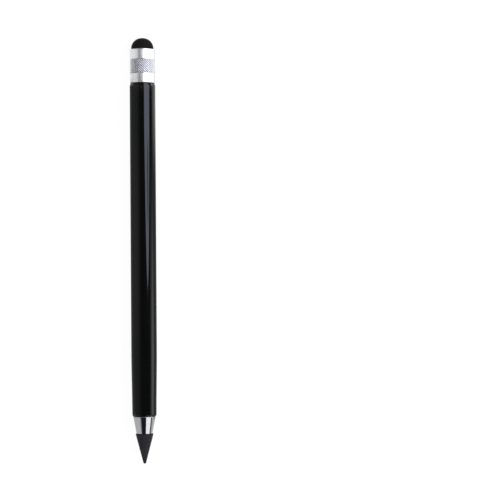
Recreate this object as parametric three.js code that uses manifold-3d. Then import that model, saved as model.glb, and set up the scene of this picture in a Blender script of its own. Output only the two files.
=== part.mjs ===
// A slim two-in-one writing tool, lying on its side as a pencil does: the nib of an inkless pencil points
// to -X and a rubber stylus tip for touch screens to +X. Millimetres, +Z up. The origin is under the middle
// of the tool's length, on the surface that it lies on.
//
// Each piece is drawn along the tool's axis, in distances from the point of the nib, and turned round it.
// The group at the end moves the axis to its place over the surface.

import * as THREE from "three";
import { mergeVertices } from "three/addons/utils/BufferGeometryUtils.js";
import Module from "manifold-3d";

const wasm = await Module();
wasm.setup();

// Outside of the tool
const nibLength = 9.95;
const nibPointRadius = 0.5;
const nibRimBevel = 0.18;
const nibOverhang = 0.25; // how far the nib's rim stands out past the nose's small end
const noseLength = 5.9;
const noseTaper = 10.4; // degrees, measured from the axis
const noseStep = 0.475; // how far the nose's large end stays inside the barrel's surface
const noseEdge = 0.1;
const barrelDiameter = 8.5;
const barrelLength = 109.85;
const barrelFrontDrop = 0.15; // how far the barrel's surface rounds in at the nose
const barrelFrontLength = 1.2; // the length over which it does
const barrelRearDrop = 0.4; // the same at the ferrule
const barrelRearLength = 0.9;
const barrelDraw = 0.22; // how much smaller the barrel's radius is at the nose
const barrelDrawLength = 22; // the length over which the barrel narrows
const ferruleStep = 0.1; // how far the ferrule's plain rings stay inside the barrel's surface
const frontRingLength = 3.2;
const knurlLength = 4.5;
const rearRingLength = 3.5;
const ferruleFrontEdge = 0.165;
const ferruleRimEdge = 0.33;
const domeRadius = 3.7;
const domeBluntness = 2.15; // 2 is half a ball, and more is flatter on top

// Knurled band
const knurlDepth = 0.2;
const knurlStandOut = 0.06; // how far the points stand out past the plain rings
const knurlsAround = 32;
const knurlRows = 11; // rows of points and valleys, each half a point round from the row before
const knurlGroove = 0.12; // the narrow groove turned at each end of the band
const knurlBacking = 0.3; // how deep the band is rooted in the ferrule

// Walls and bores
const barrelWall = 0.6;
const bushWall = 0.75;
const bushLength = 7;
const bushMouthBevel = 0.3;
const noseLip = 0.55; // the nose's wall round the nib's friction ring
const nibRingLedge = 0.4; // the ledge that this ring sits on, outside the nib's thread

// Threads: the nose and the ferrule have one size, the nib a smaller one
const endPitch = 0.8;
const endThreadDepth = 0.42;
const endTurns = 5;
const nibPitch = 0.7;
const nibThreadDepth = 0.35;
const nibTurns = 5;
const threadClearance = 0.1;
const threadUndercut = 0.05; // how far the plain shank is thinner than the bottom of its thread
const threadLeadIn = 0.3; // the plain point past the last turn of a thread
const pointBevel = 0.15; // the bevel at its end

// Friction rings, seats and fits
const endRingSection = 1;
const ringFit = 0.05;
const pressFit = 0.04;
const seatGap = 0.05; // between faces that meet when the tool is screwed together

// Rubber dome and the post that holds it
const domeWall = 0.9;
const skirtInset = 0.35; // how far the skirt in the ferrule stays inside the dome's edge
const skirtDepth = 2.7;
const beadLength = 1.7;
const beadReach = 0.5; // how far the bead stands in under the post's head
const postFlange = 0.6;
const postHeadBevel = 0.3;
const postStemRadius = 1.5;
const postStemLength = 5;

// Nib stud
const studHeadLength = 3.5;
const studHeadCover = 0.12; // how far the moulded-in head is thicker than the neck
const studGrooves = 3;
const studGrooveDepth = 0.22;

// How finely round things are cut
const barrelSides = 24; // few enough that a flat side keeps the tool from rolling
const roundSides = 32;
const threadSides = 20;
const ringSides = 24;
const ringSteps = 8;
const domeSteps = 7;
const pointSteps = 3;
const barrelEndSteps = 3;
const barrelDrawSteps = 4;
const edgeSteps = 2;
const cutOvershoot = 1; // how far a bore's cutter reaches past the face that it opens

// Stations along the axis, from the point of the nib
const noseFront = nibLength + seatGap;
const barrelFront = nibLength + noseLength;
const noseShoulder = barrelFront - seatGap;
const barrelRear = barrelFront + barrelLength;
const ferruleShoulder = barrelRear + seatGap;
const knurlFront = ferruleShoulder + frontRingLength;
const knurlRear = knurlFront + knurlLength;
const ferruleEnd = knurlRear + rearRingLength;
const domeSeat = ferruleEnd + seatGap;
const toolLength = domeSeat + domeRadius;

// Threaded ends of the barrel, worked inwards from the outside
const barrelRadius = barrelDiameter / 2;
const barrelBore = barrelRadius - barrelWall;
const bushRadius = barrelBore - pressFit;
const endThread = {
  radius: bushRadius - bushWall - threadClearance,
  depth: endThreadDepth,
  pitch: endPitch,
};
const endShankRadius = endThread.radius - endThreadDepth - threadUndercut;
const endThreadLength = (endTurns + 1) * endPitch;
const endRingRadius = barrelBore - ringFit;
const endNeckRadius = endRingRadius - endRingSection - ringFit;
const endGland = endRingSection + 2 * ringFit; // room along the axis for a friction ring
const frontBushFace = barrelFront + endGland;
const rearBushFace = barrelRear - endGland;

// Nose and nib
const noseLargeRadius = barrelRadius - noseStep;
const noseSlope = Math.tan(THREE.MathUtils.degToRad(noseTaper));
const noseSmallRadius = noseLargeRadius - noseLength * noseSlope;
const nibRadius = noseSmallRadius + nibOverhang;
const nibRingSeat = noseSmallRadius - noseLip;
const nibThread = {
  radius: nibRingSeat - nibRingLedge - threadClearance,
  depth: nibThreadDepth,
  pitch: nibPitch,
};
const nibShankRadius = nibThread.radius - nibThreadDepth - threadUndercut;
const nibThreadLength = (nibTurns + 1) * nibPitch;
const nibRingRadius = nibRingSeat - ringFit;
const nibRingSection = nibRingRadius - nibShankRadius - ringFit;
const nibRingFloor = noseFront + nibRingSection + 2 * ringFit;
const studEnd = nibRingFloor + nibThreadLength + threadLeadIn;
const studHeadRadius = nibShankRadius + studHeadCover;

// Ferrule, post and dome
const ferruleRadius = barrelRadius - ferruleStep;
const knurlCrest = ferruleRadius + knurlStandOut;
const knurlValley = knurlCrest - knurlDepth;
const knurlCore = knurlValley - threadUndercut;
const skirtRadius = domeRadius - skirtInset;
const skirtBore = domeRadius - domeWall;
const skirtEnd = domeSeat - skirtDepth;
const beadTop = skirtEnd + beadLength;
const beadBore = skirtBore - beadReach;
const dishRadius = skirtRadius + pressFit;
const dishFloor = skirtEnd - postFlange - 2 * seatGap;

// A mesh's geometry as a solid, with shared corners merged and faces without area dropped.
function solid(geometry) {
  geometry.deleteAttribute("normal");
  geometry.deleteAttribute("uv");
  const merged = mergeVertices(geometry, 1e-4);
  const corners = merged.getIndex().array;
  const kept = [];
  for (let i = 0; i < corners.length; i += 3) {
    const [a, b, c] = corners.slice(i, i + 3);
    if (a !== b && b !== c && c !== a) kept.push(a, b, c);
  }
  return new wasm.Manifold(
    new wasm.Mesh({
      numProp: 3,
      vertProperties: new Float32Array(merged.getAttribute("position").array),
      triVerts: new Uint32Array(kept),
    }),
  );
}

function solidFrom(positions, faces) {
  const geometry = new THREE.BufferGeometry();
  geometry.setAttribute("position", new THREE.Float32BufferAttribute(positions, 3));
  geometry.setIndex(faces);
  return solid(geometry);
}

// Turns an outline of [distance along the axis, radius] corners round the axis. The outline runs towards
// the dome on the outside and back on the inside. Where it doesn't start on the axis, it closes on itself.
function turned(outline, sides = roundSides) {
  const points = outline.map(([along, radius]) => new THREE.Vector2(radius, along));
  if (outline[0][1] > 0) points.push(points[0].clone());
  const geometry = new THREE.LatheGeometry(points, sides, Math.PI / sides);
  geometry.rotateZ(-Math.PI / 2);
  return solid(geometry);
}

// Corners of an arc round a centre on a given radius, from one angle to another in degrees: 0 points along
// the axis towards the dome, and 90 straight out.
function arc([along, out], radius, from, to, steps) {
  return Array.from({ length: steps + 1 }, (_, i) => {
    const angle = THREE.MathUtils.degToRad(from + ((to - from) * i) / steps);
    const height = out + radius * Math.sin(angle);
    return [along + radius * Math.cos(angle), Math.abs(height) < 1e-9 ? 0 : height];
  });
}

// A corner at a distance along the axis, a radius and an angle round the axis, as three coordinates.
function corner(along, radius, angle) {
  return [along, -radius * Math.sin(angle), radius * Math.cos(angle)];
}

// Two faces for a patch with the corners here, one row on, one side on and both. Their shared edge joins the
// second and third corners, or with across the first and last.
function patch(here, on, round, both, across = false) {
  return across ? [here, round, both, here, both, on] : [here, round, on, on, round, both];
}

// A solid rod with a right-handed V thread: a strip wound round the axis, whose rows lie in turn at the
// bottom and at the crest of the thread. It starts and runs out over one turn. A rod that is subtracted to
// make a nut is larger all over by grow.
function threadRod({ radius, depth, pitch }, start, turns, grow = 0) {
  const rows = 2 * turns + 1;
  const at = (side, row) => (side < threadSides ? side * rows + row : row + 2);
  const positions = [];
  const faces = [];
  for (let side = 0; side < threadSides; side++) {
    const angle = (2 * Math.PI * (side + 0.5)) / threadSides;
    for (let row = 0; row < rows; row++) {
      const along = start + pitch * (row / 2 + side / threadSides);
      const height = row % 2 ? radius : radius - depth;
      positions.push(...corner(along, height + grow, angle));
    }
    const last = side + 1 < threadSides ? rows : rows - 2;
    for (let row = 0; row + 1 < last; row++) {
      faces.push(...patch(at(side, row), at(side, row + 1), at(side + 1, row), at(side + 1, row + 1)));
    }
  }
  const front = [at(threadSides, 0), at(0, 1)];
  const back = [at(threadSides - 1, rows - 2), at(threadSides - 1, rows - 3)];
  for (let side = threadSides - 1; side >= 0; side--) {
    front.unshift(at(side, 0));
    back.unshift(at(side, rows - 1));
  }
  const middle = positions.length / 3;
  positions.push(...corner(start + pitch / 2, 0, 0));
  positions.push(...corner(start + pitch * (turns + 1 / 2), 0, 0));
  front.forEach((a, i) => faces.push(middle, front[(i + 1) % front.length], a));
  back.forEach((a, i) => faces.push(middle + 1, a, back[(i + 1) % back.length]));
  return solidFrom(positions, faces);
}

// The rod to subtract from a nut that holds a screw whose thread begins at start. It reaches past both ends
// of the stretch given, a whole number of turns away, so that screw and nut agree.
function nutRod(thread, start, from, to) {
  const before = Math.ceil((start - from) / thread.pitch) + 1;
  const turns = Math.ceil((to - start) / thread.pitch) + before;
  return threadRod(thread, start - before * thread.pitch, turns, threadClearance);
}

// A ring of pointed diamonds: the corners of a fine grid lie in turn at the crest and in the valleys.
function knurledRing(from, to, inner) {
  const sides = 2 * knurlsAround;
  const rows = knurlRows;
  const at = (side, row) => (side % sides) * (rows + 1) + row;
  const inside = (side, end) => sides * (rows + 1) + 2 * (side % sides) + end;
  const positions = [];
  const faces = [];
  for (let side = 0; side < sides; side++) {
    for (let row = 0; row <= rows; row++) {
      const radius = (side + row) % 2 ? knurlValley : knurlCrest;
      const along = from + ((to - from) * row) / rows;
      positions.push(...corner(along, radius, (2 * Math.PI * side) / sides));
    }
    for (let row = 0; row < rows; row++) {
      const around = [at(side, row), at(side, row + 1), at(side + 1, row), at(side + 1, row + 1)];
      faces.push(...patch(...around, (side + row) % 2 === 1));
    }
  }
  for (let side = 0; side < sides; side++) {
    const angle = (2 * Math.PI * side) / sides;
    positions.push(...corner(from, inner, angle), ...corner(to, inner, angle));
    faces.push(...patch(inside(side, 1), inside(side, 0), inside(side + 1, 1), inside(side + 1, 0)));
    faces.push(...patch(inside(side, 0), at(side, 0), inside(side + 1, 0), at(side + 1, 0)));
    faces.push(...patch(at(side, rows), inside(side, 1), at(side + 1, rows), inside(side + 1, 1)));
  }
  return solidFrom(positions, faces);
}

// A friction ring of round section.
function frictionRing(middle, outerRadius, section) {
  const centre = [middle, outerRadius - section / 2];
  return turned(arc(centre, section / 2, 180, -180, ringSteps).slice(1), ringSides);
}

// A cone of graphite with a rounded point and a socket for the head of its stud.
function graphiteNib() {
  const rim = nibLength - nibRimBevel;
  const toRim = Math.hypot(rim - nibPointRadius, nibRadius);
  const slope =
    Math.atan2(nibRadius, rim - nibPointRadius) - Math.asin(nibPointRadius / toRim);
  const tangent = 90 + THREE.MathUtils.radToDeg(slope);
  const socket = studHeadRadius + pressFit;
  const socketFloor = nibLength - studHeadLength - seatGap;
  return turned([
    ...arc([nibPointRadius, 0], nibPointRadius, 180, tangent, pointSteps),
    [rim, nibRadius],
    [nibLength, nibRadius - nibRimBevel],
    [nibLength, socket],
    [socketFloor, socket],
    [socketFloor, 0],
  ]);
}

// The stud: a grooved head that sits in the nib, a neck for the friction ring, and the thread.
function nibStud() {
  const front = nibLength - studHeadLength;
  const rib = studHeadLength / (2 * studGrooves + 1);
  const outline = [[front, 0]];
  for (let groove = 0; groove <= studGrooves; groove++) {
    const ribFront = front + 2 * groove * rib;
    outline.push([ribFront, studHeadRadius], [ribFront + rib, studHeadRadius]);
    if (groove < studGrooves) {
      outline.push([ribFront + rib, studHeadRadius - studGrooveDepth]);
      outline.push([ribFront + 2 * rib, studHeadRadius - studGrooveDepth]);
    }
  }
  outline.push([nibLength, nibShankRadius]);
  outline.push([studEnd - pointBevel, nibShankRadius]);
  outline.push([studEnd, nibShankRadius - pointBevel], [studEnd, 0]);
  return turned(outline, threadSides).add(threadRod(nibThread, nibRingFloor, nibTurns));
}

function nibFrictionRing() {
  return frictionRing((noseFront + nibRingFloor) / 2, nibRingRadius, nibRingSection);
}

// The chromed taper, with a threaded bore for the nib in front and a threaded spigot behind.
function noseCone() {
  const neckEnd = frontBushFace - seatGap;
  const spigotEnd = frontBushFace + endThreadLength + threadLeadIn;
  const bore = nibShankRadius + threadClearance;
  const taper = turned([
    [noseFront, 0],
    [noseFront, noseSmallRadius - noseEdge],
    [noseFront + noseEdge, noseSmallRadius + noseEdge * noseSlope],
    [noseShoulder - noseEdge, noseLargeRadius - noseEdge * noseSlope],
    [noseShoulder, noseLargeRadius - noseEdge],
    [noseShoulder, endNeckRadius],
    [neckEnd, endNeckRadius],
    [neckEnd, endShankRadius],
    [spigotEnd - pointBevel, endShankRadius],
    [spigotEnd, endShankRadius - pointBevel],
    [spigotEnd, 0],
  ]);
  const hollow = turned([
    [noseFront - cutOvershoot, 0],
    [noseFront - cutOvershoot, nibRingSeat],
    [nibRingFloor, nibRingSeat],
    [nibRingFloor, bore],
    [spigotEnd + cutOvershoot, bore],
    [spigotEnd + cutOvershoot, 0],
  ]);
  return taper
    .add(threadRod(endThread, frontBushFace, endTurns))
    .subtract(hollow)
    .subtract(nutRod(nibThread, nibRingFloor, nibRingFloor, studEnd));
}

function noseFrictionRing() {
  return frictionRing(barrelFront + endGland / 2, endRingRadius, endRingSection);
}

// One of the two brass bushes pressed into the barrel, threaded right through, with a bevelled mouth.
function threadedBush(from, to, threadStart) {
  const mouth = endThread.radius + threadClearance;
  const bevel = (face, inward) =>
    turned([
      [Math.min(face, face + inward), 0],
      [Math.min(face, face + inward), inward > 0 ? mouth + bushMouthBevel : mouth],
      [Math.max(face, face + inward), inward > 0 ? mouth : mouth + bushMouthBevel],
      [Math.max(face, face + inward), 0],
    ]);
  return turned([
    [from, 0],
    [from, bushRadius],
    [to, bushRadius],
    [to, 0],
  ])
    .subtract(nutRod(endThread, threadStart, from, to))
    .subtract(bevel(from, bushMouthBevel))
    .subtract(bevel(to, -bushMouthBevel));
}

// How much smaller the barrel's radius is at a distance along the axis than in its middle.
function drawnIn(along) {
  const share = Math.max(0, 1 - (along - barrelFront) / barrelDrawLength);
  return barrelDraw * THREE.MathUtils.smoothstep(share, 0, 1);
}

// The barrel: a tube that narrows a little towards the nose and whose ends round in softly. Its flat sides,
// not its corners, lie at its radius.
function barrelTube() {
  const roundedEnd = (face, inward, drop) =>
    Array.from({ length: barrelEndSteps + 1 }, (_, i) => {
      const angle = (Math.PI / 2) * (i / barrelEndSteps);
      return [face + inward * (1 - Math.cos(angle)), barrelRadius - drop * (1 - Math.sin(angle))];
    });
  const narrowing = Array.from({ length: barrelDrawSteps }, (_, i) => [
    barrelFront + (barrelDrawLength * (i + 1)) / barrelDrawSteps,
    barrelRadius,
  ]);
  const outside = [
    ...roundedEnd(barrelFront, barrelFrontLength, barrelFrontDrop),
    ...narrowing,
    ...roundedEnd(barrelRear, -barrelRearLength, barrelRearDrop).reverse(),
  ];
  const outline = [
    ...outside.map(([along, radius]) => [along, radius - drawnIn(along)]),
    [barrelRear, barrelBore],
    [barrelFront, barrelBore],
  ];
  const toCorner = 1 / Math.cos(Math.PI / barrelSides);
  return turned(
    outline.map(([along, radius]) => [along, radius * toCorner]),
    barrelSides,
  );
}

function ferruleFrictionRing() {
  return frictionRing(barrelRear - endGland / 2, endRingRadius, endRingSection);
}

// The ferrule: a threaded spigot, a plain ring, the knurled band, another plain ring, and a dish that the
// dome and its post sit in.
function knurledFerrule() {
  const neckEnd = rearBushFace + seatGap;
  const threadStart = rearBushFace - endThreadLength;
  const spigotEnd = threadStart - threadLeadIn;
  const stemBore = postStemRadius + pressFit;
  const stemFloor = dishFloor - postStemLength - seatGap;
  const body = turned(
    [
      [spigotEnd, 0],
      [spigotEnd, endShankRadius - pointBevel],
      [spigotEnd + pointBevel, endShankRadius],
      [neckEnd, endShankRadius],
      [neckEnd, endNeckRadius],
      [ferruleShoulder, endNeckRadius],
      [ferruleShoulder, ferruleRadius - ferruleFrontEdge],
      [ferruleShoulder + ferruleFrontEdge, ferruleRadius],
      [knurlFront, ferruleRadius],
      [knurlFront, knurlCore],
      [knurlRear, knurlCore],
      [knurlRear, ferruleRadius],
      ...arc(
        [ferruleEnd - ferruleRimEdge, ferruleRadius - ferruleRimEdge],
        ferruleRimEdge,
        90,
        0,
        edgeSteps,
      ),
      [ferruleEnd, dishRadius],
      [dishFloor, dishRadius],
      [dishFloor, stemBore],
      [stemFloor, stemBore],
      [stemFloor, 0],
    ],
    roundSides,
  );
  return body
    .add(threadRod(endThread, threadStart, endTurns))
    .add(knurledRing(knurlFront + knurlGroove, knurlRear - knurlGroove, knurlCore - knurlBacking));
}

// The post: a stem pressed into the ferrule, a flange, a groove for the rubber's bead, and a head.
function domePost() {
  const flangeFront = dishFloor + seatGap;
  const stemEnd = flangeFront - postStemLength;
  const headFront = beadTop + seatGap;
  const headRadius = skirtBore - ringFit;
  return turned([
    [stemEnd, 0],
    [stemEnd, postStemRadius - pointBevel],
    [stemEnd + pointBevel, postStemRadius],
    [flangeFront, postStemRadius],
    [flangeFront, skirtRadius],
    [flangeFront + postFlange, skirtRadius],
    [flangeFront + postFlange, beadBore - ringFit],
    [headFront, beadBore - ringFit],
    [headFront, headRadius],
    [domeSeat - postHeadBevel, headRadius],
    [domeSeat, headRadius - postHeadBevel],
    [domeSeat, 0],
  ]);
}

// The hollow rubber dome, with a skirt in the ferrule's dish and a bead in the post's groove.
function stylusDome() {
  const blunt = (share) => domeRadius * share ** (2 / domeBluntness);
  const outside = arc([0, 0], 1, 90, 0, domeSteps).map(([along, out]) => [
    domeSeat + blunt(along),
    blunt(out),
  ]);
  return turned([
    ...arc([domeSeat, 0], skirtBore, 0, 90, domeSteps),
    [beadTop, skirtBore],
    [beadTop, beadBore],
    [skirtEnd, beadBore],
    [skirtEnd, skirtRadius],
    [domeSeat, skirtRadius],
    ...outside,
  ]);
}

const finish = (color, metalness, roughness) =>
  new THREE.MeshStandardMaterial({ color, metalness, roughness });
const graphite = finish(0x35363a, 0.35, 0.6);
const brass = finish(0xb99a5a, 1, 0.3);
const chrome = finish(0xd6d8dc, 1, 0.12);
const rubber = finish(0x1d1e22, 0, 0.7);
const blackLacquer = finish(0x0b0b0d, 0.2, 0.12);
const aluminium = finish(0xcfd1d6, 1, 0.28);

const axis = new THREE.Group();
axis.position.set(-toolLength / 2, 0, barrelRadius);

function place(name, made, material) {
  const mesh = made.getMesh();
  const geometry = new THREE.BufferGeometry();
  geometry.setAttribute("position", new THREE.BufferAttribute(mesh.vertProperties, 3));
  geometry.setIndex(new THREE.BufferAttribute(mesh.triVerts, 1));
  geometry.computeVertexNormals();
  const piece = new THREE.Mesh(geometry, material.clone());
  piece.name = name;
  axis.add(piece);
}

place("graphite_nib", graphiteNib(), graphite);
place("nib_stud", nibStud(), brass);
place("nib_o_ring", nibFrictionRing(), rubber);
place("nose_cone", noseCone(), chrome);
place("nose_o_ring", noseFrictionRing(), rubber);
place("front_bush", threadedBush(frontBushFace, frontBushFace + bushLength, frontBushFace), brass);
place("barrel_tube", barrelTube(), blackLacquer);
place(
  "rear_bush",
  threadedBush(rearBushFace - bushLength, rearBushFace, rearBushFace - endThreadLength),
  brass,
);
place("ferrule_o_ring", ferruleFrictionRing(), rubber);
place("knurled_ferrule", knurledFerrule(), aluminium);
place("dome_post", domePost(), brass);
place("stylus_dome", stylusDome(), rubber);

const stylus = new THREE.Group();
stylus.name = "capacitive_stylus";
stylus.add(axis);

export default stylus;
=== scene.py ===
import math

import bmesh
import bpy
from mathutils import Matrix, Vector


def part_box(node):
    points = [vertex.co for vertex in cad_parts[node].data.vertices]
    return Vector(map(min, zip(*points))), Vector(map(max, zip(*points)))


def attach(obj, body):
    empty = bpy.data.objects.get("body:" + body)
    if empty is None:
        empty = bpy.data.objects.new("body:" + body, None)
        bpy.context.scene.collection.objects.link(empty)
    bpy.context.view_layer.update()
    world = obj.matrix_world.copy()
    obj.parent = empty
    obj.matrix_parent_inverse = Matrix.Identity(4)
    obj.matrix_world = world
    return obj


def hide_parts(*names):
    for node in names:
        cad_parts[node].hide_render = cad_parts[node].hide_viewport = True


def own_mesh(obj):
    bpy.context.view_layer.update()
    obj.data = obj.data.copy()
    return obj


# A stylus and an inkless pencil in one, lying on its side. The nib points to -X, the rubber dome to +X.
# Pieces are drawn in millimetres along the tool's axis and turned round it. Blender's units are metres.
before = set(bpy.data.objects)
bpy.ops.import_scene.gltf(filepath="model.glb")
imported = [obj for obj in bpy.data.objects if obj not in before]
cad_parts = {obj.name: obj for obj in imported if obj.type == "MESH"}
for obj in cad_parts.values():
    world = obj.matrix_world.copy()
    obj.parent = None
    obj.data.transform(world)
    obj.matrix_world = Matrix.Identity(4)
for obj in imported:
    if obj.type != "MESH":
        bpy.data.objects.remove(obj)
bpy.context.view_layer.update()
MM = 0.001


def ends(node):
    """Where a solid begins and ends along the tool, in millimetres."""
    low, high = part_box(node)
    return low.x / MM, high.x / MM


# Stations along the tool, from the solids
nib_point, nib_rear = ends("graphite_nib")
_, stud_end = ends("nib_stud")
nose_front, nose_spigot_end = ends("nose_cone")
front_bush_front, _ = ends("front_bush")
barrel_front, barrel_rear = ends("barrel_tube")
_, rear_bush_rear = ends("rear_bush")
ferrule_spigot_end, ferrule_end = ends("knurled_ferrule")
post_stem_end, dome_seat = ends("dome_post")
skirt_end, dome_top = ends("stylus_dome")

# Outside of the tool
barrel_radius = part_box("barrel_tube")[1].z / MM / 2
barrel_front_drop = 0.15
barrel_front_length = 1.2
barrel_rear_drop = 0.4
barrel_rear_length = 0.9
barrel_rear_bevel = 0.3  # the share of the drop that is a straight bevel, with a crease where it starts
barrel_draw = 0.22
barrel_draw_length = 22.0
nose_step = 0.475
nose_taper = math.radians(10.4)
nose_large_edge = 0.2
nose_small_edge = 0.16
nib_overhang = 0.25
nib_point_radius = 0.5
nib_rim_edge = 0.16
ferrule_step = 0.1
front_ring_length = 3.2
knurl_length = 4.5
ferrule_front_edge = 0.1
ferrule_rim_edge = 0.3
knurl_edge = 0.1
dome_radius = dome_top - dome_seat
dome_bluntness = 2.15  # 2 is half a ball, and more is flatter on top

# Knurled band
knurl_depth = 0.17  # of the grooves that slant one way
second_knurl_depth = 0.055  # of those that cross them
knurl_stand_out = 0.06
knurls_around = 32
knurl_rows = 5.5
knurl_groove = 0.12
knurl_flat = 1.5  # more than 1 leaves the diamonds flat on top
knurl_unshaded_top = 0.01  # how far below its crest the knurl is free of the painted shade in its grooves

# Walls, seats and fits
barrel_wall = 0.6
bush_wall = 0.75
bush_mouth = 0.3
nose_lip = 0.55
ring_ledge = 0.4
clearance = 0.1
undercut = 0.05
press_fit = 0.04
ring_fit = 0.05
seat_gap = 0.05
end_ring_section = 1.0
small_edge = 0.06
point_edge = 0.15
lead_in = 0.3

# Dome, post and stud
dome_wall = 0.9
skirt_inset = 0.35
bead_length = 1.7
bead_reach = 0.5
post_flange = 0.6
post_head_edge = 0.3
post_stem_radius = 1.5
post_stem_length = 5.0
stud_head_length = 3.5
stud_head_cover = 0.12
stud_grooves = 3
stud_groove_depth = 0.22

# Threads
end_pitch = 0.8
end_depth = 0.42
nib_pitch = 0.7
nib_depth = 0.35
thread_flat = 1.15
steps_per_turn = 12

# How finely the meshes are cut
smooth_sides = 144
hidden_sides = 96
steps_per_knurl = 10
knurl_sides = steps_per_knurl * knurls_around
corner_steps = 5
edge_hold = 0.03  # narrow faces beside a rounded edge, which keep its shading off the faces next to it
crease_hold = 0.01  # the same beside the crease at the barrel's ends
arc_steps = 28
seal_steps = 20
point_steps = 8
lip_steps = 4
nose_corner_steps = 8
cone_rings = 24
barrel_rings = 80

# Sizes that follow from the others
axis_height = barrel_radius
bore_radius = barrel_radius - barrel_wall
bush_radius = bore_radius - press_fit
end_screw_radius = bush_radius - bush_wall - clearance
end_shank = end_screw_radius - end_depth - undercut
end_neck = bore_radius - ring_fit - end_ring_section - ring_fit
nose_shoulder = barrel_front - seat_gap
nose_large = barrel_radius - nose_step
nose_small = nose_large - (nose_shoulder + seat_gap - nib_rear) * math.tan(nose_taper)
nib_radius = nose_small + nib_overhang
nib_ring_seat = nose_small - nose_lip
nib_screw_radius = nib_ring_seat - ring_ledge - clearance
nib_shank = nib_screw_radius - nib_depth - undercut
nib_ring_section = nib_ring_seat - ring_fit - nib_shank - ring_fit
nib_ring_floor = nose_front + nib_ring_section + 2 * ring_fit
stud_head = nib_shank + stud_head_cover
ferrule_radius = barrel_radius - ferrule_step
ferrule_shoulder = barrel_rear + seat_gap
knurl_front = ferrule_shoulder + front_ring_length
knurl_rear = knurl_front + knurl_length
knurl_crest = ferrule_radius + knurl_stand_out
knurl_valley = knurl_crest - knurl_depth
knurl_row = (knurl_length - 2 * knurl_groove) / knurl_rows
skirt_radius = dome_radius - skirt_inset
skirt_bore = dome_radius - dome_wall
bead_top = skirt_end + bead_length
bead_bore = skirt_bore - bead_reach
dish_radius = skirt_radius + press_fit
dish_floor = skirt_end - post_flange - 2 * seat_gap
stem_bore = post_stem_radius + press_fit


def arc(along, out, radius, start, stop, steps=arc_steps):
    """Points of an arc. Its angles are in degrees, 0 towards the dome and 90 straight out."""
    points = []
    for i in range(steps + 1):
        angle = math.radians(start + (stop - start) * i / steps)
        points.append((along + radius * math.cos(angle), max(0.0, out + radius * math.sin(angle))))
    return points


def rounded(corners, steps=corner_steps):
    """An outline whose corners, each given as (along, out, edge), are rounded with that radius."""
    points = []
    for i, (along, out, *edge) in enumerate(corners):
        here = Vector((along, out))
        if not edge or not edge[0]:
            points.append((along, out))
            continue
        before = (Vector(corners[i - 1][:2]) - here).normalized()
        after = (Vector(corners[(i + 1) % len(corners)][:2]) - here).normalized()
        half = before.angle(after) / 2
        reach = edge[0] / math.tan(half)
        centre = here + (before + after).normalized() * edge[0] / math.sin(half)
        first = here + before * reach - centre
        turn = first.angle_signed(here + after * reach - centre)
        if (Vector(corners[i - 1][:2]) - here).length > 2 * reach + 2 * edge_hold:
            points.append(tuple(here + before * (reach + edge_hold)))
        for step in range(steps + 1):
            share = turn * step / steps
            spoke = Vector(
                (
                    first.x * math.cos(share) + first.y * math.sin(share),
                    first.y * math.cos(share) - first.x * math.sin(share),
                )
            )
            points.append(tuple(centre + spoke))
        if (Vector(corners[(i + 1) % len(corners)][:2]) - here).length > 2 * reach + 2 * edge_hold:
            points.append(tuple(here + after * (reach + edge_hold)))
    return points


def screw(start, pitch, depth):
    """The height of a right-handed thread, at a place along the tool and an angle round it."""

    def height(along, angle):
        turn = (along - start) / pitch - angle / (2 * math.pi)
        ridge = 1 - abs(2 * (turn % 1) - 1)
        return depth * min(1, max(0, thread_flat * ridge - (thread_flat - 1) / 2))

    return height


def threaded(first, last, out, thread, fade_first=0.0, fade_last=0.0):
    """Fine points of an outline that carry a thread, which fades over the lengths given at its ends."""
    steps = max(2, round(abs(last - first) / end_pitch * steps_per_turn))
    low, high = min(first, last), max(first, last)
    fade_low, fade_high = (fade_first, fade_last) if first < last else (fade_last, fade_first)

    def relief(along, angle):
        rise = 1.0
        if fade_low:
            rise = min(rise, (along - low) / fade_low)
        if fade_high:
            rise = min(rise, (high - along) / fade_high)
        return thread(along, angle) * max(0.0, rise)

    return [(first + (last - first) * i / steps, out, relief) for i in range(steps + 1)]


def knurled(first, last):
    """The knurled band: slanting grooves and shallower ones across them, with flat diamonds between."""
    steps = round((last - first) / knurl_row * steps_per_knurl)

    def cut(diamonds, depth):
        """How deep a groove cuts, counted in diamonds across it: deepest halfway between two."""
        return depth * (1 - knurl_flat * (1 - 2 * abs(diamonds - round(diamonds))))

    def relief(along, angle):
        row = (along - first) / knurl_row
        side = angle / (2 * math.pi) * knurls_around
        return knurl_depth - max(0, cut(row + side, knurl_depth), cut(row - side, second_knurl_depth))

    return [(first + (last - first) * i / steps, knurl_valley, relief) for i in range(steps + 1)]


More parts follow.
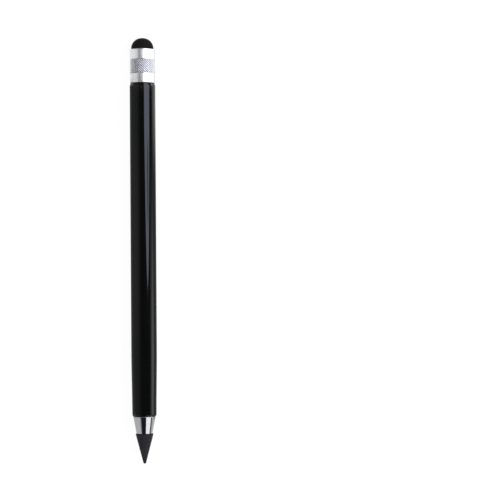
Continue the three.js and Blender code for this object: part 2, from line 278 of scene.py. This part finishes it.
def turned(name, outline, sides=smooth_sides):
    """Turns an outline round the tool's axis. A point's relief, if it has one, adds to its radius."""
    mesh = bmesh.new()
    rows = []
    for along, out, *relief in outline:
        if out <= 1e-9:
            rows.append([(mesh.verts.new((along * MM, 0, axis_height * MM)), 0.0)])
            continue
        row = []
        for side in range(sides):
            angle = 2 * math.pi * side / sides
            radius = out + (relief[0](along, angle) if relief else 0.0)
            place = (along, -radius * math.sin(angle), axis_height + radius * math.cos(angle))
            row.append((mesh.verts.new(Vector(place) * MM), radius))
        rows.append(row)
    closed = outline[0][1] > 1e-9
    for i in range(len(rows) if closed else len(rows) - 1):
        here, there = rows[i], rows[(i + 1) % len(rows)]
        shaped = len(outline[i]) > 2 and len(outline[(i + 1) % len(rows)]) > 2
        for side in range(sides):
            a, b = here[side % len(here)], here[(side + 1) % len(here)]
            c, d = there[(side + 1) % len(there)], there[side % len(there)]
            if shaped and abs(a[1] - c[1]) <= abs(b[1] - d[1]):
                mesh.faces.new((a[0], b[0], c[0]))
                mesh.faces.new((a[0], c[0], d[0]))
            elif shaped:
                mesh.faces.new((a[0], b[0], d[0]))
                mesh.faces.new((b[0], c[0], d[0]))
            else:
                corners = [a[0], b[0], c[0], d[0]]
                mesh.faces.new([v for k, v in enumerate(corners) if v not in corners[:k]])
    bmesh.ops.recalc_face_normals(mesh, faces=mesh.faces)
    return piece(name, mesh)


def piece(name, mesh, crease=32):
    """An object made of a finished mesh, smooth but for its creases."""
    data = bpy.data.meshes.new(name)
    mesh.to_mesh(data)
    mesh.free()
    data.shade_smooth()
    data.set_sharp_from_angle(angle=math.radians(crease))
    made = bpy.data.objects.new(name, data)
    bpy.context.scene.collection.objects.link(made)
    return made


class Net:
    """A node tree that is being written. Its node method adds a node and returns one of its outputs."""

    def __init__(self, owner):
        owner.use_nodes = True
        self.tree = owner.node_tree
        self.tree.nodes.clear()

    def node(self, kind, settings=None, inputs=None, output=0):
        made = self.tree.nodes.new("ShaderNode" + kind)
        for name, value in (settings or {}).items():
            if name == "stops":
                made.color_ramp.elements[0].position, made.color_ramp.elements[0].color = value[0]
                made.color_ramp.elements[1].position, made.color_ramp.elements[1].color = value[-1]
                for position, colour in value[1:-1]:
                    made.color_ramp.elements.new(position).color = colour
            else:
                setattr(made, name, value)
        for name, value in (inputs or {}).items():
            if isinstance(value, Socket):
                self.tree.links.new(value.output, made.inputs[name])
            else:
                made.inputs[name].default_value = value
        return Socket(self, made.outputs[output]) if made.outputs else None

    def maths(self, operation, *values):
        return self.node("Math", {"operation": operation}, dict(enumerate(values)))

    def between(self, value, low, high):
        """0 where the value is at low and 1 where it is at high, with a soft start and end."""
        span = {"Value": value, "From Min": low, "From Max": high}
        return self.node("MapRange", {"interpolation_type": "SMOOTHSTEP"}, span)

    def mixed(self, share, first, second):
        """A colour between two others."""
        return self.node("Mix", {"data_type": "RGBA"}, {0: share, 6: first, 7: second}, 2)

    def place(self):
        """Where a point of the surface is in its own piece, in millimetres."""
        metres = self.node("TexCoord", output="Object")
        return self.node("VectorMath", {"operation": "SCALE"}, {0: metres, "Scale": 1 / MM})

    def grain(self, place, size, detail=2.0, stretch=(1, 1, 1)):
        """Noise whose grains are about size millimetres across, and as much longer as stretch says."""
        shape = tuple(1 / (size * share) for share in stretch)
        scaled = self.node("VectorMath", {"operation": "MULTIPLY"}, {0: place, 1: shape})
        return self.node("TexNoise", None, {"Vector": scaled, "Scale": 1.0, "Detail": detail})

    def radius(self, place):
        """How far a point is from the tool's axis, in millimetres."""
        split = self.node("SeparateXYZ", None, {0: place}, "Y")
        across, height = split, split.beside("Z") - axis_height
        return self.maths("SQRT", across * across + height * height)

    def bumped(self, height, distance):
        """A normal tilted by a height from 0 to 1, which stands for so many millimetres."""
        return self.node("Bump", None, {"Height": height, "Distance": distance * MM, "Strength": 1.0})

    def glow(self, colour, strength):
        """A surface that gives light of its own."""
        return self.node("Emission", None, {"Color": colour, "Strength": strength})


class Socket:
    """An output of a node, which Python's arithmetic follows with Math nodes."""

    def __init__(self, net, output):
        self.net, self.output = net, output

    def beside(self, name):
        return Socket(self.net, self.output.node.outputs[name])

    def __add__(self, other):
        return self.net.maths("ADD", self, other)

    def __radd__(self, other):
        return self.net.maths("ADD", other, self)

    def __sub__(self, other):
        return self.net.maths("SUBTRACT", self, other)

    def __rsub__(self, other):
        return self.net.maths("SUBTRACT", other, self)

    def __mul__(self, other):
        return self.net.maths("MULTIPLY", self, other)

    def __rmul__(self, other):
        return self.net.maths("MULTIPLY", other, self)

    def __truediv__(self, other):
        return self.net.maths("DIVIDE", self, other)


def finish(name, surface):
    """A material whose surface function is given its node tree and returns its shader."""
    material = bpy.data.materials.new(name)
    net = Net(material)
    net.node("OutputMaterial", None, {"Surface": surface(net)})
    return material


def black_lacquer(net):
    """Gloss lacquer with a faint orange peel and the haze of handling."""
    place = net.place()
    peel = net.grain(place, 1.4, 1.0)
    haze = net.grain(place, 3.0, 4.0, (4, 1, 1))
    dust = net.grain(place, 0.16, 0.0)
    return net.node(
        "BsdfPrincipled",
        None,
        {
            "Base Color": net.mixed(haze, (0.0012, 0.0013, 0.0014, 1), (0.002, 0.0021, 0.0022, 1)),
            "Roughness": 0.035 + haze * 0.03 + net.between(dust, 0.72, 0.8) * 0.1,
            "IOR": 1.5,
            "Normal": net.bumped(peel, 0.0007),
        },
    )


def turned_aluminium(net):
    """Satin aluminium with the rings of the lathe tool, and painted shade that darkens the knurl's
    grooves.
    """
    place = net.place()
    rings = net.grain(place, 0.09, 2.0, (1, 60, 60))
    broad = net.grain(place, 0.5, 2.0, (1, 12, 12))
    blotch = net.grain(place, 1.6, 3.0)
    # Painted shade: 1 down in the knurl's grooves and 0 near its crests, darkening the colour there
    painted_groove_shade = 1 - net.between(net.radius(place), knurl_valley, knurl_crest - knurl_unshaded_top)
    colour = net.mixed(rings * 0.5 + broad * 0.5, (0.86, 0.87, 0.9, 1), (0.935, 0.945, 0.975, 1))
    return net.node(
        "BsdfPrincipled",
        None,
        {
            # the dark brown-grey mixed in here is painted shade in the knurl's grooves
            "Base Color": net.mixed(painted_groove_shade * 0.95, colour, (0.41, 0.38, 0.33, 1)),
            "Metallic": 1.0,
            "Roughness": 0.22 + rings * 0.06 + blotch * 0.06 + painted_groove_shade * 0.04,
            "Normal": net.bumped(rings * 0.7 + broad * 0.3, 0.0035),
        },
    )


def polished_chrome(net):
    """Chrome plating, with the last faint lines of the polishing wheel."""
    place = net.place()
    lines = net.grain(place, 0.12, 2.0, (1, 40, 40))
    haze = net.grain(place, 1.2, 3.0)
    return net.node(
        "BsdfPrincipled",
        None,
        {
            "Base Color": net.mixed(haze, (0.62, 0.625, 0.64, 1), (0.68, 0.685, 0.7, 1)),
            "Metallic": 1.0,
            "Roughness": 0.035 + lines * 0.03 + haze * 0.02,
            "Normal": net.bumped(lines, 0.0004),
        },
    )


def pressed_graphite(net):
    """Graphite alloy: fine dark grain with a dull metallic lustre, and faint rings from its grinding."""
    place = net.place()
    grain = net.grain(place, 0.22, 3.0)
    specks = net.grain(place, 0.09, 1.0)
    rings = net.grain(place, 0.2, 2.0, (1, 14, 14))
    light = net.between(grain, 0.3, 0.7)
    colour = net.mixed(light, (0.0055, 0.0055, 0.007, 1), (0.018, 0.0175, 0.021, 1))
    return net.node(
        "BsdfPrincipled",
        None,
        {
            "Base Color": net.mixed(net.between(specks, 0.66, 0.8) * 0.5, colour, (0.12, 0.12, 0.13, 1)),
            "Metallic": 0.15,
            "Roughness": 0.5 + grain * 0.16,
            "Specular IOR Level": 0.2,
            "Normal": net.bumped(grain * 0.6 + specks * 0.2 + rings * 0.4, 0.03),
        },
    )


def dome_rubber(net):
    """Soft conductive rubber: matte, finely pitted, and a little smoother where it meets the screen."""
    place = net.place()
    pits = net.grain(place, 0.1, 2.0)
    cloud = net.grain(place, 1.5, 3.0)
    along = net.node("SeparateXYZ", None, {0: place}, "X")
    worn = net.between(along, dome_top - 1.3, dome_top - 0.1) * net.between(cloud, 0.25, 0.75)
    colour = net.mixed(cloud, (0.0034, 0.0036, 0.0043, 1), (0.006, 0.0063, 0.0072, 1))
    return net.node(
        "BsdfPrincipled",
        None,
        {
            "Base Color": net.mixed(worn * 0.4, colour, (0.01, 0.0105, 0.012, 1)),
            "Roughness": 0.66 + pits * 0.12 - worn * 0.14,
            "Specular IOR Level": 0.05,
            "Sheen Weight": 0.006,
            "Sheen Roughness": 0.5,
            "Normal": net.bumped(pits, 0.012),
        },
    )


def seal_rubber(net):
    """Moulded nitrile rubber of the friction rings, slightly greasy."""
    place = net.place()
    grain = net.grain(place, 0.25, 3.0)
    return net.node(
        "BsdfPrincipled",
        None,
        {
            "Base Color": net.mixed(grain, (0.009, 0.009, 0.01, 1), (0.018, 0.018, 0.019, 1)),
            "Roughness": 0.38 + grain * 0.2,
            "Normal": net.bumped(grain, 0.006),
        },
    )


def machined_brass(net):
    """Free-cutting brass, bright from the tool, a little tarnished in blotches."""
    place = net.place()
    lines = net.grain(place, 0.08, 2.0, (1, 40, 40))
    tarnish = net.grain(place, 1.0, 3.0)
    colour = net.mixed(lines, (0.72, 0.5, 0.2, 1), (0.82, 0.61, 0.28, 1))
    return net.node(
        "BsdfPrincipled",
        None,
        {
            "Base Color": net.mixed(net.between(tarnish, 0.5, 0.8) * 0.5, colour, (0.42, 0.27, 0.11, 1)),
            "Metallic": 1.0,
            "Roughness": 0.2 + lines * 0.1 + tarnish * 0.1,
            "Normal": net.bumped(lines, 0.002),
        },
    )


def pencil_nib():
    """A ground cone of graphite with a rounded point and a socket for the head of its stud."""
    rim = nib_rear - nib_rim_edge
    to_rim = math.hypot(rim - nib_point - nib_point_radius, nib_radius)
    slope = math.atan2(nib_radius, rim - nib_point - nib_point_radius)
    slope -= math.asin(nib_point_radius / to_rim)
    tangent = 90 + math.degrees(slope)
    socket = stud_head + press_fit
    floor = nib_rear - stud_head_length - seat_gap
    point = arc(nib_point + nib_point_radius, 0, nib_point_radius, 180, tangent, point_steps)
    foot, rise = point[-1]
    cone = []
    for i in range(1, cone_rings):
        share = i / cone_rings
        cone.append((foot + (rim - foot) * share, rise + (nib_radius - rise) * share))
    back = rounded(
        [
            (nib_rear - 1, nib_radius - math.tan(slope)),
            (nib_rear - nib_rim_edge / 2, nib_radius, nib_rim_edge / 2),
            (nib_rear, nib_radius - nib_rim_edge, nib_rim_edge / 2),
            (nib_rear, socket, small_edge),
            (floor, socket),
            (floor, 0),
        ]
    )[1:]
    return turned("pencil_nib", point + cone + back)


def threaded_stud():
    """The brass stud: a grooved head in the nib, a neck for the friction ring, and the thread."""
    rib = stud_head_length / (2 * stud_grooves + 1)
    front = nib_rear - stud_head_length
    corners = [(front, 0)]
    for groove in range(stud_grooves + 1):
        rib_front = front + 2 * groove * rib
        corners += [(rib_front, stud_head, small_edge), (rib_front + rib, stud_head, small_edge)]
        if groove < stud_grooves:
            bottom = stud_head - stud_groove_depth
            corners += [(rib_front + rib, bottom), (rib_front + 2 * rib, bottom)]
    corners += [(nib_rear, nib_shank)]
    thread_end = stud_end - lead_in
    thread = screw(nib_ring_floor, nib_pitch, nib_depth + undercut)
    points = rounded(corners)
    points += threaded(nib_ring_floor, thread_end, nib_shank, thread, nib_pitch, nib_pitch)
    points += [(stud_end - point_edge, nib_shank), (stud_end, nib_shank - point_edge), (stud_end, 0)]
    return turned("threaded_stud", points, hidden_sides)


def friction_ring(name, node, outer, section):
    """A rubber ring of round section in the middle of its solid's place."""
    first, last = ends(node)
    middle = outer - section / 2
    outline = arc((first + last) / 2, middle, section / 2, 180, -180, seal_steps)[1:]
    return turned(name, outline, hidden_sides)


def chrome_nose():
    """The polished taper, its threaded spigot behind and the threaded bore for the nib inside."""
    spigot_thread_end = nose_spigot_end - lead_in
    neck_end = front_bush_front - seat_gap
    bore = nib_shank + clearance
    slope = math.tan(nose_taper)
    outside = rounded(
        [
            (nib_ring_floor, nib_ring_seat),
            (nose_front, nib_ring_seat, small_edge),
            (nose_front, nose_small, nose_small_edge),
            (nose_shoulder, nose_small + (nose_shoulder - nose_front) * slope, nose_large_edge),
            (nose_shoulder, end_neck),
            (neck_end, end_neck, small_edge),
            (neck_end, end_shank),
        ],
        nose_corner_steps,
    )
    thread = screw(front_bush_front, end_pitch, end_depth + undercut)
    spigot = threaded(front_bush_front, spigot_thread_end, end_shank, thread, end_pitch, end_pitch)
    end = [
        (nose_spigot_end - point_edge, end_shank),
        (nose_spigot_end, end_shank - point_edge),
    ]
    groove = screw(nib_ring_floor, nib_pitch, nib_depth + undercut)
    inside = threaded(stud_end + nib_pitch, nib_ring_floor, bore, groove, nib_pitch)
    return turned("chrome_nose", outside + spigot + end + [(nose_spigot_end, bore)] + inside)


def thread_bush(name, node, start):
    """A brass bush pressed into the barrel, threaded right through, with bevelled mouths."""
    front, rear = ends(node)
    bore = end_screw_radius - end_depth - undercut + clearance
    mouth = end_screw_radius + clearance + bush_mouth
    groove = screw(start, end_pitch, end_depth + undercut)
    corners = [(front, mouth), (front, bush_radius, small_edge), (rear, bush_radius, small_edge)]
    inside = threaded(rear - bush_mouth, front + bush_mouth, bore, groove, end_pitch / 2, end_pitch / 2)
    return turned(name, rounded(corners) + [(rear, mouth)] + inside, hidden_sides)


def lacquered_barrel():
    """The tube, whose ends round in softly."""

    def soft_end(face, inward, drop, bevel):
        points = []
        angles = [math.pi / 2 * i / (corner_steps * 2) for i in range(corner_steps * 2 + 1)]
        angles.insert(-1, math.acos(crease_hold / abs(inward)))
        for angle in angles:
            share = (1 - bevel) * (1 - math.sin(angle)) + bevel * math.cos(angle)
            points.append((face + inward * (1 - math.cos(angle)), barrel_radius - drop * share))
        return points + [(points[-1][0] + math.copysign(crease_hold, inward), barrel_radius)]

    def drawn_in(along):
        """How much narrower the tube is near the nose."""
        share = max(0.0, 1 - (along - barrel_front) / barrel_draw_length)
        return barrel_draw * share * share * (3 - 2 * share)

    front = soft_end(barrel_front, barrel_front_length, barrel_front_drop, 0)
    rear = soft_end(barrel_rear, -barrel_rear_length, barrel_rear_drop, barrel_rear_bevel)[::-1]
    length = rear[0][0] - front[-1][0]
    middle = [(front[-1][0] + length * i / barrel_rings, barrel_radius) for i in range(1, barrel_rings)]
    outside = [(along, out - drawn_in(along)) for along, out in front + middle + rear]
    bore = [(barrel_rear, bore_radius), (barrel_front, bore_radius)]
    return turned("lacquered_barrel", outside + bore)


def knurled_collar():
    """The ferrule: plain ring, knurled band, plain ring with the dome's dish, on a threaded spigot."""
    neck_end = rear_bush_rear + seat_gap
    thread_start = ferrule_spigot_end + lead_in
    stem_floor = dish_floor - post_stem_length - seat_gap
    thread = screw(thread_start, end_pitch, end_depth + undercut)
    spigot = [
        (ferrule_spigot_end, 0),
        (ferrule_spigot_end, end_shank - point_edge),
        (ferrule_spigot_end + point_edge, end_shank),
    ]
    spigot += threaded(thread_start, rear_bush_rear, end_shank, thread, end_pitch, end_pitch)
    front_ring = rounded(
        [
            (neck_end, end_shank),
            (neck_end, end_neck, small_edge),
            (ferrule_shoulder, end_neck),
            (ferrule_shoulder, ferrule_radius, ferrule_front_edge),
            (knurl_front, ferrule_radius, knurl_edge),
            (knurl_front, knurl_valley),
        ]
    )
    band = knurled(knurl_front + knurl_groove, knurl_rear - knurl_groove)
    rear_ring = rounded(
        [
            (knurl_rear, knurl_valley),
            (knurl_rear, ferrule_radius, knurl_edge),
            (ferrule_end, ferrule_radius, ferrule_rim_edge),
            (ferrule_end, dish_radius, small_edge),
            (dish_floor, dish_radius),
            (dish_floor, stem_bore),
            (stem_floor, stem_bore),
            (stem_floor, 0),
        ]
    )
    return turned("knurled_collar", spigot + front_ring + band + rear_ring, knurl_sides)


def brass_post():
    """The post: a stem pressed into the ferrule, a flange, a groove for the rubber's bead, a head."""
    flange_front = dish_floor + seat_gap
    head_front = bead_top + seat_gap
    head = skirt_bore - ring_fit
    corners = [
        (post_stem_end, 0),
        (post_stem_end, post_stem_radius, point_edge),
        (flange_front, post_stem_radius),
        (flange_front, skirt_radius, small_edge),
        (flange_front + post_flange, skirt_radius, small_edge),
        (flange_front + post_flange, bead_bore - ring_fit),
        (head_front, bead_bore - ring_fit),
        (head_front, head, small_edge),
        (dome_seat, head, post_head_edge),
        (dome_seat, 0),
    ]
    return turned("brass_post", rounded(corners), hidden_sides)


def rubber_dome():
    """The hollow dome, with its skirt in the ferrule's dish and its bead in the post's groove."""
    inside = arc(dome_seat, 0, skirt_bore, 0, 90)
    skirt = rounded(
        [
            (bead_top, skirt_bore),
            (bead_top, bead_bore, small_edge),
            (skirt_end, bead_bore, small_edge),
            (skirt_end, skirt_radius, small_edge),
            (dome_seat, skirt_radius),
        ]
    )
    lip = arc(dome_seat + small_edge, dome_radius - small_edge, small_edge, 180, 90, lip_steps)
    outside = []
    for along, out in arc(0, 0, 1, 88, 0):
        share = 2 / dome_bluntness
        outside.append((dome_seat + dome_radius * max(0, along) ** share, dome_radius * out**share))
    return turned("rubber_dome", inside + skirt + lip + outside)


lacquer = finish("black_lacquer", black_lacquer)
aluminium = finish("turned_aluminium", turned_aluminium)
chrome = finish("polished_chrome", polished_chrome)
graphite = finish("pressed_graphite", pressed_graphite)
soft_rubber = finish("dome_rubber", dome_rubber)
ring_rubber = finish("seal_rubber", seal_rubber)
brass = finish("machined_brass", machined_brass)

end_ring_outer = bore_radius - ring_fit
nib_ring_outer = nib_ring_seat - ring_fit
fittings = [
    (pencil_nib(), "graphite_nib", "nib", "graphite", graphite),
    (threaded_stud(), "nib_stud", "nib", "brass", brass),
    (
        friction_ring("small_seal", "nib_o_ring", nib_ring_outer, nib_ring_section),
        "nib_o_ring",
        "nib_ring",
        "ring_rubber",
        ring_rubber,
    ),
    (chrome_nose(), "nose_cone", "nose", "chrome", chrome),
    (
        friction_ring("front_seal", "nose_o_ring", end_ring_outer, end_ring_section),
        "nose_o_ring",
        "nose_ring",
        "ring_rubber",
        ring_rubber,
    ),
    (
        thread_bush("front_thread_bush", "front_bush", front_bush_front),
        "front_bush",
        "barrel",
        "brass",
        brass,
    ),
    (lacquered_barrel(), "barrel_tube", "barrel", "black_lacquer", lacquer),
    (
        thread_bush("rear_thread_bush", "rear_bush", ferrule_spigot_end + lead_in),
        "rear_bush",
        "barrel",
        "brass",
        brass,
    ),
    (
        friction_ring("rear_seal", "ferrule_o_ring", end_ring_outer, end_ring_section),
        "ferrule_o_ring",
        "ferrule_ring",
        "ring_rubber",
        ring_rubber,
    ),
    (knurled_collar(), "knurled_ferrule", "ferrule", "turned_aluminium", aluminium),
    (brass_post(), "dome_post", "ferrule", "brass", brass),
    (rubber_dome(), "stylus_dome", "ferrule", "dome_rubber", soft_rubber),
]
for made, node, body, slot, material in fittings:
    made.data.materials.append(material)
    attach(made, body)
    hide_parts(node)

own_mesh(bpy.data.objects["rubber_dome"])

# Camera: straight above, with the dome at the top of the picture and the tool left of its middle
view_distance = 0.529
picture_width = 0.16535
tool_left = 0.03522
tool_down = 0.0003
lean = math.radians(0.342)
sensor = 36.0

camera_data = bpy.data.cameras.new("camera")
camera_data.sensor_width = sensor
camera_data.lens = sensor * view_distance / picture_width
camera = bpy.data.objects.new("camera", camera_data)
camera.location = (
    tool_down - tool_left * math.sin(lean),
    -tool_left * math.cos(lean),
    axis_height * MM + view_distance,
)
camera.rotation_euler = (0, 0, -math.pi / 2 - lean)
bpy.context.scene.collection.objects.link(camera)
bpy.context.scene.camera = camera

# Floor, studio and lights. A tent and two cards on the floor are seen in reflections alone.
floor_reach = 4.0
floor_glow = 0.93
floor_fade = (0.15, 0.5)  # the distances over which the floor becomes all glow
floor_paper = (0.9, 0.9, 0.9, 1)
room_light = 0.5
tent_radius = 0.5
tent_length = 0.9
tent_sides = 60
card_width = 1.0
card_gap = 0.0055
card_height = 0.0002

# What the tent and the cards show. Stations are in millimetres along the tool, and angles in degrees
# from straight above towards -Y, both where the barrel mirrors them for the camera. Distances across
# are in millimetres from the tool. A pair says where a tone is nothing and where it is full.
pure_white = (1, 1, 1, 1)
cool_white = (0.97, 0.98, 1, 1)
lilac_white = (0.77, 0.79, 1, 1)
tent_dark = 0.015
nib_zone = ((-110, -122), (-190, -175))
ferrule_zone = ((55.2, 55.5), (98, 88))

wall_tone = 0.2
wall_middle_tone = 0.13
wall_middle = 5
wall_middle_fade = (55, 10)
wall_angles = (-12, -62)
nib_wall_tone = 0.59
nib_wall_angles = (-26, -55)

ferrule_left_tone = 0.6
ferrule_far_left_tone = 0.9
ferrule_far_left_angles = (-25, -46)
ferrule_lower_share = 0.3  # how much brighter its lower ring's left side is lit
ferrule_lower_stations = (66, 58)
ferrule_middle_tone = 1.2
ferrule_middle_angles = (-22, 0)
ferrule_right_tone = 2.8
ferrule_right_angles = (4, 30)

softbox_tone = 2.7
softbox_angle = 40.3
softbox_half = 27
softbox_half_most = 24.6
softbox_tip = -12
softbox_full = 54
softbox_bluntness = 0.45  # how fast the softbox widens from its tip: less than 1 is blunt
softbox_edge = (0, 2)
seam_share = 0.65  # how dark the gap in the middle of the softbox is
seam_angle = 46
seam_half = (2, 8)
seam_station = 23
seam_reach = (8, 18)
nib_softbox_tone = 1.25
nib_softbox_angles = ((22, 24), (79, 77))
strip_tone = 1.4
strip_stations = (45, -40)
strip_angles = (55, 90)

left_card_tone = 0.25
left_card_nib_tone = 0.34
left_card_nib_stations = (-54, -57)
left_card_ferrule_tone = 0.75

right_card_tone = 0.15
right_card_rise_tone = 0.1
right_card_rise_stations = (-70, -60)
far_light_tone = 1.5
far_light_zone = ((30, -30), (-75, -60))
far_light_across = (15, 70)
near_light_tone = 0.8
near_light_stations = (20, 50)
near_light_across = (80, 12)
near_light_by_ferrule = 0.9  # the share of it that is left there
nose_light_tone = 0.45
nose_light_stations = (-55, -58)
nose_light_across = (30, 8)
ferrule_light_tone = 3.0
ferrule_light_across = (8, 36)


def within(net, value, zone):
    """1 inside a zone, which is given as the pairs for its two ends."""
    return net.between(value, *zone[0]) * net.between(value, *zone[1])


def shown_white(net):
    """1 for the rays that see the background: from the camera, off gloss and through glass."""
    seen = net.node("LightPath", output="Is Camera Ray")
    mirrored = net.maths("MAXIMUM", seen.beside("Is Glossy Ray"), seen.beside("Is Transmission Ray"))
    return net.maths("MAXIMUM", seen, mirrored)


def white_floor(net):
    """White paper: bright to the eye and in reflections, with the tool's soft shadow on it."""
    paper = net.node("BsdfDiffuse", None, {"Color": floor_paper})
    place = net.node("NewGeometry", output="Position")
    away = net.between(net.node("VectorMath", {"operation": "LENGTH"}, {0: place}, "Value"), *floor_fade)
    share = floor_glow + away * (1 - floor_glow)
    shown = shown_white(net) * share
    return net.node("MixShader", None, {0: shown, 1: paper, 2: net.glow(pure_white, 1.0)})


def mirror_map(net):
    """The place on the tent as the barrel mirrors it for the camera: its station, and its angle."""
    place = net.node("NewGeometry", output="Position")
    along = net.node("SeparateXYZ", None, {0: place}, "X")
    across, height = along.beside("Y"), along.beside("Z") - axis_height * MM
    reach = net.maths("SQRT", across * across + height * height)
    station = along / (reach / view_distance + 1) / MM
    angle = net.maths("ARCTAN2", across * -1, height) * (180 / math.pi)
    return station, angle


def tent_light(net):
    """The tent's inside: dark, with a grey wall at the left, two softboxes and a strip light."""
    station, angle = mirror_map(net)
    by_nib = within(net, station, nib_zone)
    by_ferrule = within(net, station, ferrule_zone)

    middle = net.between(net.maths("ABSOLUTE", station - wall_middle), *wall_middle_fade)
    wall = (wall_tone + wall_middle_tone * middle) * net.between(angle, *wall_angles)
    wall = wall * (1 - by_nib) * (1 - by_ferrule)
    wall = wall + by_nib * nib_wall_tone * net.between(angle, *nib_wall_angles)
    left = ferrule_left_tone + ferrule_far_left_tone * net.between(angle, *ferrule_far_left_angles)
    left = left * (1 + ferrule_lower_share * net.between(station, *ferrule_lower_stations))
    right = ferrule_middle_tone * net.between(angle, *ferrule_middle_angles)
    right = right + ferrule_right_tone * net.between(angle, *ferrule_right_angles)
    wall = wall + by_ferrule * (left + right)
    strip = (1 - by_nib) * net.between(station, *strip_stations) * net.between(angle, *strip_angles)

    rise = net.maths("MAXIMUM", (station - softbox_tip) / (softbox_full - softbox_tip), 0)
    half = softbox_half * net.maths("POWER", rise, softbox_bluntness)
    inside = net.maths("MINIMUM", half, softbox_half_most) - net.maths("ABSOLUTE", angle - softbox_angle)
    softbox = net.between(inside, *softbox_edge) * (1 - by_ferrule)
    seam = 1 - net.between(net.maths("ABSOLUTE", angle - seam_angle), *seam_half)
    seam = seam * (1 - net.between(net.maths("ABSOLUTE", station - seam_station), *seam_reach))
    softbox = softbox * (1 - seam_share * seam)
    nib_softbox = by_nib * within(net, angle, nib_softbox_angles)

    grey = net.glow(cool_white, tent_dark + wall + strip_tone * strip)
    lilac = net.glow(lilac_white, softbox_tone * softbox)
    white = net.glow(cool_white, nib_softbox_tone * nib_softbox)
    return net.node("AddShader", None, {0: grey, 1: net.node("AddShader", None, {0: lilac, 1: white})})


def card_map(net):
    """The place on a floor card as the barrel mirrors it: its station, and how far across it is."""
    place = net.node("NewGeometry", output="Position")
    along = net.node("SeparateXYZ", None, {0: place}, "X")
    across = net.maths("ABSOLUTE", along.beside("Y"))
    return along / (across / view_distance + 1) / MM, across / MM


def left_card_light(net):
    """The card at the left: dim beside the barrel, brighter beside the two ends."""
    station, _ = card_map(net)
    strength = left_card_tone + left_card_nib_tone * net.between(station, *left_card_nib_stations)
    strength = strength + left_card_ferrule_tone * within(net, station, ferrule_zone)
    return net.glow(cool_white, strength)


def right_card_light(net):
    """The card at the right: bright far from the tool by the nib half, and nearer by the dome."""
    station, across = card_map(net)
    by_ferrule = within(net, station, ferrule_zone)
    far = within(net, station, far_light_zone) * net.between(across, *far_light_across)
    near = net.between(station, *near_light_stations) * net.between(across, *near_light_across)
    near = near * (1 - (1 - near_light_by_ferrule) * by_ferrule)
    nose = net.between(station, *nose_light_stations) * net.between(across, *nose_light_across)
    ferrule = by_ferrule * net.between(across, *ferrule_light_across)
    strength = right_card_tone + right_card_rise_tone * net.between(station, *right_card_rise_stations)
    strength = strength + far_light_tone * far + near_light_tone * near
    strength = strength + nose_light_tone * nose + ferrule_light_tone * ferrule
    return net.glow(cool_white, strength)


def studio_world(net):
    """White behind the object and in its reflections, and an even grey light on everything else."""
    strength = room_light + shown_white(net) * (1 - room_light)
    return net.node("Background", None, {"Color": pure_white, "Strength": strength})


def stage_sheet(name, points, faces, surface):
    """A stage piece made of flat faces, with its points in metres."""
    data = bpy.data.meshes.new(name)
    data.from_pydata(points, [], faces)
    made = bpy.data.objects.new(name, data)
    made.data.materials.append(finish(name, surface))
    bpy.context.scene.collection.objects.link(made)
    return made


def only_mirrored(made):
    """Hides a stage piece from all but reflections, so that it lights nothing and casts no shadow."""
    for ray in ("camera", "diffuse", "transmission", "volume_scatter", "shadow"):
        setattr(made, "visible_" + ray, False)


def floor_part(name, left, right, reach, height, surface):
    """A flat sheet on the floor between two distances across the tool."""
    corners = [(-reach, left), (reach, left), (reach, right), (-reach, right)]
    points = [(along, across, height) for along, across in corners]
    return stage_sheet(name, points, [(0, 1, 2, 3)], surface)


def tent():
    """Half a tube over the tool, open at its ends."""
    points, faces = [], []
    for side in range(tent_sides + 1):
        turn = math.pi * side / tent_sides
        across, height = tent_radius * math.cos(turn), axis_height * MM + tent_radius * math.sin(turn)
        points += [(-tent_length, across, height), (tent_length, across, height)]
        if side:
            faces.append((2 * side - 2, 2 * side - 1, 2 * side + 1, 2 * side))
    return stage_sheet("tent", points, faces, tent_light)


def lamp(name, angle, along, distance, size, power):
    """A soft square lamp aimed at the tool, from an angle like the tent's. Reflections don't show it."""
    data = bpy.data.lights.new(name, "AREA")
    data.shape = "SQUARE"
    data.size = size
    data.energy = power
    made = bpy.data.objects.new(name, data)
    turn = math.radians(angle)
    made.location = (along, -distance * math.sin(turn), distance * math.cos(turn))
    made.rotation_euler = (-made.location).to_track_quat("-Z", "Y").to_euler()
    made.visible_camera = False
    made.visible_glossy = False
    bpy.context.scene.collection.objects.link(made)


floor_part("floor", floor_reach, -floor_reach, floor_reach, 0, white_floor)
only_mirrored(tent())
only_mirrored(floor_part("left_card", card_width, card_gap, card_width, card_height, left_card_light))
only_mirrored(floor_part("right_card", -card_gap, -card_width, card_width, card_height, right_card_light))

lamp("key", angle=44, along=0.1, distance=0.9, size=0.45, power=10.0)
lamp("fill", angle=-50, along=-0.1, distance=0.9, size=0.7, power=2.2)
lamp("top", angle=0, along=0.0, distance=1.2, size=0.8, power=5.2)

world = bpy.data.worlds.new("studio")
bpy.context.scene.world = world
world_net = Net(world)
world_net.node("OutputWorld", None, {"Surface": studio_world(world_net)})

bpy.context.scene.view_settings.view_transform = "Standard"
